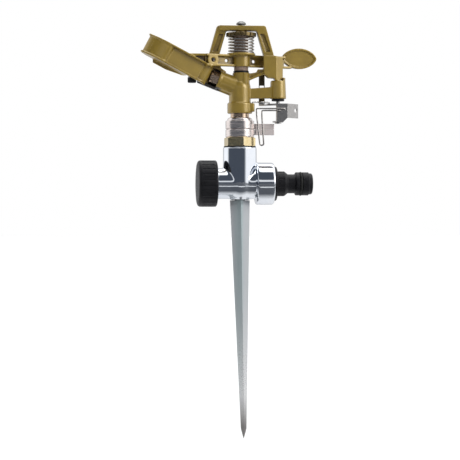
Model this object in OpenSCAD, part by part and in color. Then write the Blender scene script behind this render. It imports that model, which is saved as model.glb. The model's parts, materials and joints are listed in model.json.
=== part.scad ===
// Impact sprinkler on a spike, in millimetres.
// The origin is on the upright water axis at soil level, just under the tee.
// +Z is up, +X is towards the hose plug, and the nozzle points to -X.

/* [Spike] */
// Depth of the spike below the soil line
spike_len = 176; // [120:1:230]
// Distance between opposite edges of the spike at its top
spike_w = 15; // [13:0.5:18]
// Distance between opposite edges where the point starts
spike_tip_w = 4.4; // [3:0.2:7]
// Length of the blunt point
spike_point = 8; // [5:1:20]
// Sideways set of the point
spike_lean = 2.9; // [0:0.1:5]
// Diameter of the tang that is held in the tee
tang_d = 8; // [6:0.5:9]
// Length of the tang
tang_len = 5.4; // [4:0.2:5.6]

/* [Tee] */
// Outside diameter of the upright tube
tee_d = 25; // [24.2:0.2:28]
// Height of the tube's mouth above the soil line
tee_top = 41.4; // [38:0.2:50]
// Height of the level pipe's axis
pipe_z = 14.4; // [14:0.2:16]
// Outside diameter of the level pipe
pipe_d = 22.8; // [20:0.2:24]
// Water bore of the tee
water_d = 13; // [9:0.5:13]
// Outside diameter of the female end
socket_d = 31.4; // [28:0.2:36]
// Where the female end starts
socket_x = 11.6; // [11:0.2:12.6]
// Length of the female end
socket_len = 13.7; // [12:0.1:18]
// Thread diameter of the half inch threads
thread_d = 20.9; // [20:0.1:21.4]
// Thread depth in the female end
socket_depth = 12; // [9:0.5:13]
// Thread diameter of the capped male end
spigot_d = 26.4; // [25:0.1:28]
// Distance from the water axis to the end of the male end
spigot_x = 28; // [27:0.5:34]
// Thread length of the capped male end
spigot_len = 10; // [7:0.5:10.5]

/* [End cap] */
// Outside diameter of the cap
cap_d = 34.5; // [32:0.5:40]
// Length of the cap
cap_len = 14.3; // [13.6:0.1:20]
// Thickness of the cap's end wall
cap_wall = 2.2; // [1.4:0.1:3]
// Number of shallow grip flutes
cap_flutes = 24; // [12:1:36]
// Thickness of the flat seals
seal_t = 1.6; // [1:0.1:2]

/* [Hose plug] */
// Diameter of the plug's shoulder
plug_flange_d = 25.4; // [23:0.2:30]
// Thickness of the plug's shoulder
plug_flange_t = 1.9; // [1.4:0.1:3]
// Diameter of the body behind the neck
plug_body_d = 18.5; // [17:0.1:20]
// Length of the body behind the neck
plug_body_len = 6.5; // [5:0.1:9]
// Diameter of the neck that the coupler's claws hold
plug_neck_d = 14.2; // [13:0.1:15.2]
// Length of the neck with its cone
plug_neck_len = 8; // [7:0.1:10]
// Diameter of the nose
plug_nose_d = 17.3; // [16.4:0.1:18]
// Length of the nose
plug_nose_len = 12.5; // [11:0.1:15]
// Water bore of the plug
plug_bore_d = 10; // [7:0.5:11]
// Section of the sealing ring
ring_d = 2.2; // [1.8:0.1:2.4]

/* [Bearing] */
// Size of the brass hexagon across its flats
hex_af = 21; // [20.6:0.1:26]
// Height of the hexagon
hex_h = 6.4; // [5:0.1:9]
// Turn of the hexagon about the water axis
hex_turn = 37; // [0:1:59]
// Thickness of the black gasket under the hexagon
gasket_t = 0.8; // [0.5:0.1:1.5]
// Thread length below the hexagon
bushing_len = 12; // [9:0.5:12]
// Outside diameter of the sleeve that carries the stops
sleeve_d = 18.6; // [18:0.1:22]
// Height of the sleeve
sleeve_h = 15; // [14:0.1:18]
// Bore of the sleeve around the spring
sleeve_bore = 15.4; // [15:0.1:15.8]
// Outside diameter of the water stem
stem_d = 10.4; // [9.4:0.1:10.4]
// Water bore of the stem
stem_bore = 8; // [6:0.1:8.2]
// Diameter of the stem's foot
stem_foot_d = 17; // [15:0.1:18]
// Wire diameter of the bearing spring
bearing_wire = 1.2; // [0.9:0.1:1.3]
// Turns of the bearing spring
bearing_turns = 4; // [3:1:6]
// Height of the gap between the sleeve and the head
neck_h = 2.9; // [2.4:0.1:5]

/* [Stop collars] */
// Wall of a stop collar
collar_wall = 1.3; // [0.8:0.1:1.6]
// Height of the upper collar's ring
upper_collar_h = 6.2; // [5:0.1:6.4]
// Height of the lower collar's ring
lower_collar_h = 5.8; // [4.6:0.1:6]
// Height of the pinch ears
ear_h = 4; // [3:0.1:4.4]
// Reach of the pinch ears from the water axis
ear_reach = 25.6; // [22:0.1:27]
// Clear slit between the two ears
ear_slit = 1.4; // [1:0.1:2]
// Thickness of an ear
ear_t = 1.1; // [0.8:0.1:1.4]

/* [Head] */
// Outside diameter of the inlet collar
inlet_d = 18.6; // [17:0.1:21]
// Height of the inlet collar
inlet_h = 8.5; // [7:0.1:9]
// Outside diameter of the head's upright tube
riser_d = 16.1; // [15:0.1:17]
// Height of the point where barrel and water axis meet, above the inlet's face
barrel_rise = 19; // [18:0.1:20]
// Upward slope of the barrel
barrel_angle = 20.5; // [16:0.5:24]
// Outside diameter of the barrel
barrel_d = 14; // [13:0.1:15]
// Length of the barrel from the water axis
barrel_len = 17.5; // [16:0.1:18.5]
// Length of the nozzle in front of the barrel
nozzle_len = 6; // [5:0.1:7]
// Size of the nozzle's hexagon across its flats
nozzle_af = 9.6; // [8.8:0.1:10.4]
// Water jet diameter
jet_d = 3.8; // [2.5:0.1:5]
// Diameter of the post that carries the arm
post_d = 12.7; // [11:0.1:13.5]
// Height of the post's top above the inlet's face
post_rise = 30.4; // [29:0.1:31]
// Offset of the arm's axis from the water axis
pivot_x = 1; // [0:0.1:1.6]

/* [Bridge] */
// Height of the bridge's top above the inlet's face
bridge_rise = 65.4; // [65.2:0.1:68]
// Thickness of the top bar
bridge_bar = 3.9; // [3:0.1:4.2]
// Half width of the top bar outside
bridge_top = 18.4; // [18.3:0.1:20]
// Half width of the bridge outside, level with the arm
bridge_foot = 24.3; // [23:0.1:25]
// Width of a leg at the top
leg_top_w = 7; // [6:0.1:7.1]
// Width of a leg at its foot
leg_foot_w = 7.7; // [6:0.1:8]
// Depth of a leg from front to back
leg_depth = 6.2; // [5:0.1:7]
// Reach of a leg past the middle plane on the side of the arm
leg_past = 2; // [1.6:0.1:2.1]
// Depth of the top bar
bar_depth = 8.6; // [7:0.1:10]

/* [Arm] */
// Turn of the resting arm from the plane of the bridge
arm_turn = 18; // [18:0.5:22]
// Height of the arm's underside above the inlet's face
arm_rise = 34.8; // [34.4:0.1:35.2]
// Height of the arm's beam
arm_h = 9; // [8:0.1:9.2]
// Width of the beam
arm_w = 4.6; // [4:0.1:4.7]
// Thickness of the beam's flanges
flange_t = 1.7; // [1.2:0.1:2.2]
// Thickness of the beam's web
web_t = 1.5; // [1.2:0.1:2]
// Outside diameter of the arm's hub
hub_d = 13.3; // [12.6:0.1:14.5]
// Outside diameter of the bush in the hub
bush_d = 10.6; // [9:0.1:10.8]
// Diameter of the spring seat on the hub
seat_d = 21.1; // [20.4:0.1:23]
// Length of the deflector
spoon_len = 47; // [42:0.5:50]
// Height of the deflector
spoon_h = 15; // [13.5:0.1:16]
// Slope of the deflector
spoon_angle = 27.8; // [25:0.2:30]
// Depth of the deflector's walls behind its front plate
spoon_depth = 12; // [9:0.5:14]
// Wall of the deflector
spoon_wall = 1.3; // [1:0.1:1.8]
// Length of the counterweight
weight_len = 27; // [22:0.5:30]
// Height of the counterweight
weight_h = 15.6; // [13:0.1:18]
// Distance of the counterweight's middle from the arm's axis
weight_r = 48; // [46:0.5:52]
// Turn of the counterweight back from the beam's own direction
weight_turn = 12; // [0:0.5:16]

/* [Pivot] */
// Diameter of the pivot pin
pin_d = 4; // [3:0.1:4.5]
// Diameter of the pin's head
pin_head_d = 7.6; // [6.6:0.1:9]
// Height of the pin's head
pin_head_h = 3.6; // [2.4:0.1:4]
// Thickness of the washer under the hub
pivot_washer_t = 1.2; // [0.8:0.1:1.2]
// Diameter of the upper spring plate
plate_d = 22.4; // [21.8:0.1:22.6]
// Outside diameter of the arm's spring
arm_spring_d = 20.1; // [19:0.1:21]
// Wire diameter of the arm's spring
arm_wire = 1.2; // [0.9:0.1:1.3]
// Turns of the arm's spring
arm_turns = 5; // [4:1:7]

/* [Jet screw] */
// Distance of the jet screw from the water axis
screw_x = 35.8; // [34:0.1:36.4]
// Diameter of the jet screw's knob
knob_d = 6.5; // [5:0.1:7]
// Height of the jet screw's knob
knob_h = 4.2; // [3:0.1:4.4]
// Diameter of the jet screw's pin
jet_pin_d = 2.6; // [2:0.1:3]
// Thickness of the tongue under the nozzle
tongue_t = 2.2; // [1.6:0.1:2.4]
// Width of the tongue
tongue_w = 6; // [5:0.1:6.4]

/* [Trip gear] */
// Distance of the trip pin from the water axis
trip_x = 28.7; // [28:0.1:29.4]
// Diameter of the boss for the trip pin
boss_d = 12.2; // [11:0.1:12.4]
// Height of the boss
boss_h = 10.8; // [10:0.1:11]
// Diameter of the trip pin
trip_pin_d = 3; // [2.4:0.1:3.4]
// Diameter of the black washer under the boss
trip_washer_d = 9.4; // [8:0.1:10]
// Thickness of the black washer
trip_washer_t = 1.6; // [1:0.1:1.8]
// Sheet thickness of the trip lever
sheet_t = 1; // [0.8:0.1:1.2]
// Height of the trip lever's bracket
bracket_h = 13.8; // [13:0.1:14.6]
// Wire diameter of the trip wire and the snap spring
trip_wire_d = 1.3; // [0.9:0.1:1.3]
// Distance from the middle plane to the trip wire
wire_y = 7.6; // [7.6:0.1:8.2]
// Length of the trip wire's hanging loop
loop_len = 28; // [24:0.5:28.4]
// Distance from the water axis to the middle of the loop
loop_x = 13.9; // [13.8:0.1:15]
// Half of the snap spring's swing
snap_half = 12.5; // [10:0.5:15]

/* [Fits] */
// Radial clearance of turned fits and threads
fit = 0.05; // [0.02:0.01:0.1]
// Clearance between pieces that pass each other
gap = 0.3; // [0.25:0.05:0.4]

/* [Hidden] */
$fn = 48;
eps = 0.01;

bronze = [0.55, 0.46, 0.2];
chrome = [0.75, 0.78, 0.82];
nickel = [0.8, 0.74, 0.72];
brass = [0.85, 0.7, 0.35];
steel = [0.55, 0.54, 0.52];
zinc = [0.62, 0.66, 0.68];
black = [0.12, 0.12, 0.13];

// Levels, from the spike's top upwards
spike_top = 2;
hex_z = tee_top + gasket_t;
sleeve_z = hex_z + hex_h;
sleeve_top = sleeve_z + sleeve_h;
inlet_z = sleeve_top + neck_h;
barrel_z = inlet_z + barrel_rise;
post_top = inlet_z + post_rise;
arm_z = inlet_z + arm_rise;
arm_top = arm_z + arm_h;
bridge_z = inlet_z + bridge_rise;
bar_z = bridge_z - bridge_bar;
riser_z = inlet_z + inlet_h;

// Seats along the level pipe
cap_face = spigot_x + seal_t;
cap_out = cap_face + cap_wall;
socket_end = socket_x + socket_len;
plug_in = socket_end - socket_depth;
neck_start = socket_end + plug_flange_t + plug_body_len;
nose_start = neck_start + plug_neck_len;
nose_end = nose_start + plug_nose_len;

// Bearing inside
bushing_foot = hex_z - bushing_len;
foot_t = 2;
stem_seal_t = 1.2;
stem_foot_z = bushing_foot - 2 * stem_seal_t - foot_t;
thread_floor = stem_foot_z - 3.5;
stem_top = inlet_z + 9;
lip_t = 1.2;
flange_h = 1.4;
thrust_flange_z = sleeve_top - lip_t - gap - flange_h;
neck_r = stem_d / 2 + 1.7;

// Arm and nozzle
bush_z = post_top + pivot_washer_t + gap;
seat_z = arm_top + 1.1;
plate_z = bar_z - 3.4;
spring_hole_turn = -11.3;
eye_x = -23.6;
nozzle_thread_d = 8.4;
tongue_z = barrel_z + screw_x * tan(barrel_angle) - 2.9;
spoon_x = -27.2;
spoon_y = -7.2;
spoon_z = arm_z + arm_h / 2 - 9.9;

// Trip gear levels
boss_z = inlet_z + 11.2;
boss_top = boss_z + boss_h;
rim_h = 2.8;
washer_z = boss_z - trip_washer_t;
lever_top = inlet_z + 7.5;
lever_foot = lever_top - bracket_h;
wire_z = lever_top - sheet_t - 2.9;
hinge_x = trip_x + 4.5;
snap_z = lever_top + gap + trip_wire_d / 2;
lug_x = 8.8;
lug_y = -5;
hook_r = 6.5;
lug_bearing = atan2(lug_y, lug_x - trip_x);
hook_bearing = lug_bearing - snap_half;
hook_x = trip_x + hook_r * cos(hook_bearing);
hook_y = hook_r * sin(hook_bearing);

// Points on an arc about a centre
function arc(cx, cy, r, a0, a1, n = 8) =
    [for (i = [0:n]) [cx + r * cos(a0 + (a1 - a0) * i / n), cy + r * sin(a0 + (a1 - a0) * i / n)]];

// Pointed oval
function leaf(a, b, n = 40) =
    [for (i = [0:n - 1]) let(t = 360 * i / n) [a * cos(t), b * sign(sin(t)) * pow(abs(sin(t)), 1.25)]];

// A round wire along a row of points
function unit(v) = v / norm(v);
function side_of(t) = unit(cross(t, abs(t[2]) < 0.9 ? [0, 0, 1] : [0, 1, 0]));
function path_dir(p, i) = unit(p[min(i + 1, len(p) - 1)] - p[max(i - 1, 0)]);
function carry(s, t) = unit(s - t * (s * t));
function sides_of(p, i = 0, last = undef, out = []) =
    i == len(p) ? out
    : let(t = path_dir(p, i), s = i == 0 ? side_of(t) : carry(last, t))
      sides_of(p, i + 1, s, concat(out, [s]));

module wire(p, d, k = 8) {
    s = sides_of(p);
    n = len(p);
    rings = [for (i = [0:n - 1]) let(t = path_dir(p, i), u = s[i], v = cross(t, u))
        for (j = [0:k - 1]) p[i] + d / 2 * (u * cos(360 * j / k) + v * sin(360 * j / k))];
    walls = [for (i = [0:n - 2]) for (j = [0:k - 1])
        let(a = i * k + j, b = i * k + (j + 1) % k)
        each [[a, a + k, b], [b, a + k, b + k]]];
    caps = [[for (j = [0:k - 1]) j], [for (j = [k - 1:-1:0]) (n - 1) * k + j]];
    polyhedron(rings, concat(walls, caps));
}

// A plate in the upright plane, y0 to y1 deep
module upright(y0, y1) {
    translate([0, y1, 0]) rotate([90, 0, 0]) linear_extrude(y1 - y0) children();
}

// A rod along +X
module rod_x(x0, x1, d) {
    translate([x0, 0, 0]) rotate([0, 90, 0]) cylinder(h = x1 - x0, d = d);
}

// A ring with a chosen bore
module ring(z0, z1, d, bore) {
    translate([0, 0, z0]) difference() {
        cylinder(h = z1 - z0, d = d);
        translate([0, 0, -1]) cylinder(h = z1 - z0 + 2, d = bore);
    }
}

// The barrel's frame: -X runs along the jet
module along_barrel() {
    translate([0, 0, barrel_z]) rotate([0, barrel_angle, 0]) children();
}

// The arm's frame: its axis is at the origin, the deflector side is -X
module along_arm() {
    translate([pivot_x, 0, 0]) rotate([0, 0, arm_turn]) children();
}

// The deflector's frame: -X runs up its length
module along_spoon() {
    translate([spoon_x, 0, spoon_z]) rotate([0, spoon_angle, 0]) children();
}

module spike() {
    r0 = spike_w / 2;
    r1 = spike_tip_w / 2;
    z1 = spike_point - spike_len;
    lean = spike_lean;
    side = [[1, 0], [0, 1], [-1, 0], [0, -1]];
    top = [for (s = side) [s[0] * r0, s[1] * r0, spike_top]];
    low = [for (s = side) [s[0] * r1 + lean, s[1] * r1, z1]];
    tip = [[lean, 0, -spike_len]];
    walls = [for (i = [0:3]) let(j = (i + 1) % 4) each [[i, j, i + 4], [j, j + 4, i + 4], [i + 4, j + 4, 8]]];
    color(zinc) union() {
        polyhedron(concat(top, low, tip), concat([[3, 2, 1, 0]], walls));
        translate([0, 0, spike_top - 1]) cylinder(h = tang_len + 1, d = tang_d);
    }
}

module tee() {
    color(chrome) difference() {
        union() {
            translate([0, 0, pipe_z]) cylinder(h = tee_top - pipe_z, d = tee_d);
            translate([0, 0, pipe_z]) sphere(d = tee_d);
            rotate([0, 0, 45]) translate([-spike_w / 2 * sqrt(0.5), -spike_w / 2 * sqrt(0.5), spike_top])
                cube([spike_w * sqrt(0.5), spike_w * sqrt(0.5), pipe_z / 2 - spike_top]);
            translate([0, 0, pipe_z]) {
                rod_x(-spigot_x, 0, pipe_d);
                rod_x(-spigot_x, spigot_len - spigot_x, spigot_d);
                rod_x(0, socket_x + 1, pipe_d);
                female_end();
            }
        }
        translate([0, 0, pipe_z]) rod_x(-spigot_x - 1, socket_end, water_d);
        translate([0, 0, pipe_z]) rod_x(plug_in - seal_t, socket_end + 1, thread_d + 2 * fit);
        translate([0, 0, pipe_z]) cylinder(h = tee_top, d = water_d);
        translate([0, 0, thread_floor]) cylinder(h = tee_top, d = thread_d + 2 * fit);
        translate([0, 0, spike_top - 1]) cylinder(h = tang_len + 1 + gap, d = tang_d + 2 * fit);
    }
}

// The collar of the female end, with rounded edges
module female_end() {
    r = socket_d / 2;
    e = 1.6;
    outline = concat(
        [[0, 0]], arc(r - e, e, e, -90, 0), arc(r - e, socket_len - e, e, 0, 90), [[0, socket_len]]);
    translate([socket_x, 0, 0]) rotate([0, 90, 0]) rotate_extrude() polygon(outline);
}

module end_cap_washer() {
    color(black) translate([-spigot_x, 0, pipe_z]) rotate([0, -90, 0]) ring(0, seal_t, spigot_d, water_d);
}

module end_cap() {
    r = cap_d / 2;
    e = 2.2;
    f = 1.2;
    outline = concat([[0, 0]], arc(r - e, e, e, -90, 0), arc(r - f, cap_len - f, f, 0, 90), [[0, cap_len]]);
    color(black) translate([-cap_out, 0, pipe_z]) rotate([0, 90, 0]) difference() {
        rotate_extrude($fn = 96) polygon(outline);
        translate([0, 0, cap_wall]) cylinder(h = cap_len, d = spigot_d + 2 * fit);
        for (i = [0:cap_flutes - 1]) rotate([0, 0, (i + 0.5) * 360 / cap_flutes])
            translate([r + 1.2, 0, e + 0.6]) cylinder(h = cap_len - e - f - 1.6, d = 3);
    }
}

module hose_plug() {
    rf = plug_flange_d / 2;
    rb = plug_body_d / 2;
    rn = plug_neck_d / 2;
    rs = plug_nose_d / 2;
    ro = plug_bore_d / 2;
    groove = rs - ring_d + 0.2;
    x0 = plug_in;
    x1 = socket_end;
    x2 = x1 + plug_flange_t;
    cone = 2.2;
    bead = 2.6;
    slot = ring_d + 0.3;
    outline = [
        [ro, x0], [thread_d / 2 - 0.6, x0], [thread_d / 2, x0 + 0.6], [thread_d / 2, x1],
        [rf - 0.4, x1], [rf, x1 + 0.4], [rf, x2 - 0.4], [rf - 0.4, x2],
        [rb, x2], [rb, neck_start - 0.5], [rb - 0.4, neck_start],
        [rn, neck_start + cone], [rn, nose_start - 0.7], [rs - 0.3, nose_start],
        [rs, nose_start + 0.4], [rs, nose_start + bead], [groove, nose_start + bead],
        [groove, nose_start + bead + slot], [rs, nose_start + bead + slot],
        [rs, nose_end - 3], [rs - 0.7, nose_end - 2.4], [rs - 0.9, nose_end - 0.6],
        [rs - 1.5, nose_end], [ro + 0.5, nose_end], [ro, nose_end - 0.5]
    ];
    color(black) translate([0, 0, pipe_z]) rotate([0, 90, 0]) difference() {
        rotate_extrude() polygon(outline);
        for (a = [0:45:315]) rotate([0, 0, a + 22.5])
            translate([rb + 0.8, 0, x2 + 1]) cylinder(h = plug_body_len - 2.2, d = 2.4);
    }
}

module plug_seal() {
    color(black) translate([plug_in - seal_t, 0, pipe_z]) rotate([0, 90, 0])
        ring(0, seal_t, thread_d, water_d);
}

module plug_o_ring() {
    x = nose_start + 2.6 + (ring_d + 0.3) / 2;
    r = plug_nose_d / 2 - ring_d / 2 + 0.3;
    color(black) translate([x, 0, pipe_z]) rotate([0, 90, 0]) rotate_extrude()
        translate([r, 0]) circle(d = ring_d, $fn = 24);
}

module hex_bushing() {
    corner = hex_af / cos(30);
    color(brass) difference() {
        union() {
            intersection() {
                translate([0, 0, hex_z]) rotate([0, 0, hex_turn]) cylinder(h = hex_h, d = corner, $fn = 6);
                translate([0, 0, hex_z]) rotate_extrude() polygon([
                    [0, 0], [corner / 2 - 0.8, 0], [corner / 2, 0.5], [corner / 2, hex_h - 0.5],
                    [corner / 2 - 0.8, hex_h], [0, hex_h]]);
            }
            translate([0, 0, bushing_foot]) cylinder(h = bushing_len + 0.5, d = thread_d);
            translate([0, 0, sleeve_z - 1]) cylinder(h = 5, d = sleeve_bore - 2 * fit);
        }
        translate([0, 0, bushing_foot - 1]) cylinder(h = bushing_len + hex_h + 8, d = stem_d + 2 * fit);
    }
}

module bushing_gasket() {
    color(black) ring(tee_top, hex_z, tee_d - 1.2, thread_d + 2 * fit);
}

module bearing_sleeve() {
    r = sleeve_d / 2;
    rb = sleeve_bore / 2;
    rl = neck_r + 0.2;
    h = sleeve_h;
    color(nickel) translate([0, 0, sleeve_z]) rotate_extrude() polygon(concat(
        [[rb, 0], [r, 0]], arc(r - 2, h - 2, 2, 0, 60), [[rl + 0.5, h], [rl, h - 0.5]],
        [[rl, h - lip_t], [rb, h - lip_t]]));
}

module bearing_spring() {
    z0 = sleeve_z + 4 + bearing_wire / 2 + eps;
    z1 = thrust_flange_z - bearing_wire / 2 - eps;
    r = (stem_d + sleeve_bore) / 4;
    n = bearing_turns * 18;
    color(steel) wire([for (i = [0:n]) let(a = 360 * i / 18)
        [r * cos(a), r * sin(a), z0 + (z1 - z0) * i / n]], bearing_wire, 6);
}

module thrust_bush() {
    color(brass) difference() {
        union() {
            translate([0, 0, thrust_flange_z]) cylinder(h = flange_h, d = sleeve_bore - 2 * gap);
            translate([0, 0, thrust_flange_z]) cylinder(h = inlet_z - thrust_flange_z, r = neck_r);
        }
        translate([0, 0, thrust_flange_z - 1]) cylinder(h = 20, d = stem_d + 2 * fit);
    }
}

// A friction collar: a split ring with two pinch ears
module stop_collar(z, h, ear_z) {
    bore = sleeve_d + 2 * fit;
    outer = bore + 2 * collar_wall;
    half = ear_slit / 2 + ear_t;
    color(nickel) difference() {
        union() {
            translate([0, 0, z]) rotate_extrude() polygon([
                [bore / 2, 0], [outer / 2 - 0.3, 0], [outer / 2, 0.3], [outer / 2, h - 0.3],
                [outer / 2 - 0.3, h], [bore / 2, h]]);
            translate([bore / 2 + 0.2, -half, ear_z]) cube([ear_reach - bore / 2 - 0.2, 2 * half, ear_h]);
        }
        translate([0, -ear_slit / 2, z - 1]) cube([ear_reach + 1, ear_slit, h + 2]);
    }
}

module upper_stop_collar() {
    z = sleeve_z + 0.3 + lower_collar_h + gap;
    stop_collar(z, upper_collar_h, z);
}

module lower_stop_collar() {
    z = sleeve_z + 0.3;
    stop_collar(z, lower_collar_h, z + lower_collar_h - ear_h);
}

module inlet_stem() {
    color(brass) difference() {
        union() {
            translate([0, 0, stem_foot_z]) cylinder(h = foot_t, d = stem_foot_d);
            translate([0, 0, stem_foot_z]) cylinder(h = stem_top - stem_foot_z, d = stem_d);
        }
        translate([0, 0, stem_foot_z - 1]) cylinder(h = 80, d = stem_bore);
    }
}

module stem_seal() {
    z = stem_foot_z + foot_t;
    color(black) ring(z, z + stem_seal_t, stem_foot_d, stem_d + 2 * fit);
}

module stem_washer() {
    z = stem_foot_z + foot_t + stem_seal_t;
    color([0.9, 0.9, 0.88]) ring(z, bushing_foot, stem_foot_d, stem_d + 2 * fit);
}

// One half of the bridge, drawn for the right side; mirrored for the left
module bridge_half() {
    zf = arm_top - 0.8;
    foot_in = bridge_foot - leg_foot_w;
    top_in = bridge_top - leg_top_w;
    polygon(concat(
        [[0, bar_z], [top_in - 1.6, bar_z]], arc(top_in - 1.4, bar_z - 1.6, 1.6, 90, 15, 4),
        [[foot_in, zf], [bridge_foot, zf]],
        arc(bridge_top - 1.8, bridge_z - 1.8, 1.8, 15, 90, 5), [[0, bridge_z]]));
}

module bridge() {
    rear = leg_depth - leg_past;
    lean = (bridge_foot - bridge_top) / (bridge_z - arm_top);
    translate([pivot_x, 0, 0]) {
        upright(-leg_past, rear) mirror([1, 0]) bridge_half();
        upright(-rear, leg_past) bridge_half();
        translate([-bridge_top + 1.8, -bar_depth / 2, bar_z])
            cube([2 * bridge_top - 3.6, bar_depth, bridge_bar]);
        translate([0, 0, bar_z - 0.6]) cylinder(h = 2, d = bar_depth - 0.4);
    }
}

// Height at a distance before the water axis, r above the barrel's axis
function over_barrel(x, r) = barrel_z + x * tan(barrel_angle) + r / cos(barrel_angle);

// The left leg runs on behind the arm to the mouth of the barrel
module left_foot() {
    rear = leg_depth - leg_past;
    x_in = pivot_x - bridge_foot + leg_foot_w;
    x_out = pivot_x - bridge_foot;
    upright(-leg_past, rear) polygon([
        [x_out, arm_top], [x_in, arm_top], [x_in + 1.4, arm_z - 1], [-10.5, over_barrel(10.5, 6.9) + 1],
        [-10.5, over_barrel(10.5, 4)], [-14.6, over_barrel(14.6, 4)], [-14.6, over_barrel(14.6, 6.9)],
        [-19.4, over_barrel(19.4, 6.9)], [x_out + 0.6, arm_z + 1.8]]);
}

// The right leg stands on a block beside the trip boss
module right_foot() {
    x0 = 17.6;
    x1 = 32.2;
    front = -5.6;
    corner_w = 5.4;
    corner_d = 3.8;
    difference() {
        upright(front, leg_past) polygon([
            [x0, arm_z - 5.2], [21, arm_z - 8.2], [25.2, arm_z - 8.6], [26, arm_z - 9.8], [x1, arm_z - 9.8],
            [x1, arm_top - 2.6], [x1 - 1, arm_top - 1.4], [pivot_x + bridge_foot, arm_top - 0.7],
            [x0 - 0.4, arm_top - 0.7]]);
        translate([0, 0, arm_z - 20]) linear_extrude(40) polygon([
            [x1 - corner_w, front - 1], [x1 - corner_w, front], [x1, front + corner_d],
            [x1 + 1, front + corner_d], [x1 + 1, front - 1]]);
    }
}

// The rib from the post to the right leg, with a thin web behind it
module strut() {
    upright(-2.4, 0.8) polygon([
        [2, arm_z - 12.2], [2, arm_z - 10.8], [19, arm_z - 2.4], [20, arm_z - 4.6]]);
    upright(-0.4, 1.6) polygon([
        [3, arm_z - 12], [4, post_top - 0.6], [7, post_top - 0.4], [12.5, post_top + 0.6],
        [13.5, arm_z - 1.5], [20, arm_z - 1.5], [20, arm_z - 4]]);
}

module lower_bar() {
    upright(-3, 3) polygon([
        [4, boss_z], [trip_x, boss_z + 0.4], [trip_x, boss_z + 9.2], [4, boss_z + 7.2]]);
    translate([trip_x, 0, boss_z]) rotate_extrude() polygon([
        [0, 0], [boss_d / 2 - 0.3, 0], [boss_d / 2, 0.4], [boss_d / 2 - 0.5, boss_h + rim_h - 0.6],
        [boss_d / 2 - 1.1, boss_h + rim_h], [0, boss_h + rim_h]]);
    intersection() {
        translate([trip_x, 0, boss_z + 1]) cylinder(h = boss_top - boss_z + 4, d = boss_d - 1.2);
        translate([trip_x + 3.6, -9, boss_z]) cube([6, 18, arm_z]);
    }
}

// The tongue under the barrel that carries the jet screw
module tongue() {
    x1 = screw_x - knob_d / 2 - 0.5;
    mouth = barrel_len + 0.8;
    under = -(nozzle_af / 2 / cos(30) + gap);
    plate_half = 1.3;
    upright(-plate_half, plate_half) polygon([
        [-7, barrel_z - 3], [-mouth + 2.6, over_barrel(mouth - 2.6, -5)],
        [-mouth + 1, over_barrel(mouth - 1, under)], [-x1 + 6, over_barrel(x1 - 6, under)],
        [-x1 + 0.4, tongue_z], [-screw_x, tongue_z],
        [-screw_x, tongue_z - tongue_t], [-x1, tongue_z - tongue_t], [-x1, barrel_z + 3.8],
        [-8.2, barrel_z - 5.4], [-7, barrel_z - 5.6]]);
    translate([-screw_x, 0, tongue_z - tongue_t]) cylinder(h = tongue_t, d = tongue_w);
}

// The web behind the nozzle, from the foot of the left leg down to the tongue
module rear_web() {
    back = nozzle_af / 2 / cos(30) + gap + 1.2;
    upright(0.6, back) polygon([
        [-16, barrel_z - 1.9], [-28.4, barrel_z + 3], [-28.2, barrel_z + 6.6], [-16, barrel_z + 4]]);
    upright(2.7, back) polygon([
        [-11.5, barrel_z], [-16, barrel_z], [-28.4, barrel_z + 5], [-27.4, barrel_z + 11.5],
        [-25.6, barrel_z + 14.8], [-22.4, arm_z + 1.4], [-18.4, arm_z + 1.4], [-16.6, barrel_z + 14.6],
        [-11.5, barrel_z + 11.2]]);
}

// The ear beside the inlet that holds the fixed end of the snap spring
module snap_lug() {
    translate([lug_x, lug_y, inlet_z + 1.2]) cylinder(h = lever_top - inlet_z - 1.2, d = 3.4);
    translate([3, lug_y - 1.6, inlet_z + 1.2]) cube([lug_x - 3, 3.2, lever_top - inlet_z - 1.2]);
}

module sprinkler_body() {
    color(bronze) difference() {
        union() {
            translate([0, 0, inlet_z]) rotate_extrude() polygon([
                [0, 0], [inlet_d / 2 - 0.5, 0], [inlet_d / 2, 0.5], [inlet_d / 2, inlet_h - 1],
                [riser_d / 2, inlet_h], [0, inlet_h]]);
            translate([0, 0, riser_z - 1]) cylinder(h = barrel_z - riser_z + 1, d = riser_d);
            translate([0, 0, barrel_z]) sphere(d = riser_d);
            along_barrel() rod_x(-barrel_len, 0, barrel_d);
            along_barrel() rod_x(-barrel_len, 1.6 - barrel_len, barrel_d + 1);
            translate([pivot_x, 0, barrel_z]) cylinder(h = post_top - barrel_z, d = post_d);
            translate([pivot_x + 0.9, -post_d / 2 - 0.7, barrel_z - 2])
                cube([2.2, 3, post_top - barrel_z + 1.2]);
            bridge();
            left_foot();
            right_foot();
            strut();
            lower_bar();
            tongue();
            rear_web();
            snap_lug();
        }
        translate([0, 0, inlet_z - 1]) cylinder(h = stem_top - inlet_z + 1 + gap, d = stem_d + 2 * fit);
        translate([0, 0, inlet_z]) cylinder(h = barrel_rise, d = stem_bore);
        along_barrel() rod_x(-barrel_len, 0, stem_bore - 0.6);
        along_barrel() rod_x(-barrel_len - 1, 8 - barrel_len, nozzle_thread_d + 2 * fit);
        along_barrel() rod_x(-barrel_len - nozzle_len - gap, -barrel_len, nozzle_af / cos(30) + 2 * gap);
        translate([pivot_x, 0, post_top - 7]) cylinder(h = 60, d = pin_d + 2 * fit);
        translate([trip_x, 0, boss_z - 1]) cylinder(h = boss_h + 1.2, d = trip_pin_d + 2 * fit);
        translate([trip_x, 0, boss_top]) cylinder(h = 3.4, d = 6.4 + 2 * gap);
        translate([-screw_x, 0, tongue_z - tongue_t - 1]) cylinder(h = tongue_t + 2, d = jet_pin_d + 2 * fit);
        translate([lug_x, lug_y, inlet_z]) cylinder(h = 20, d = trip_wire_d + 0.4);
        leg_pockets();
    }
}

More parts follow.
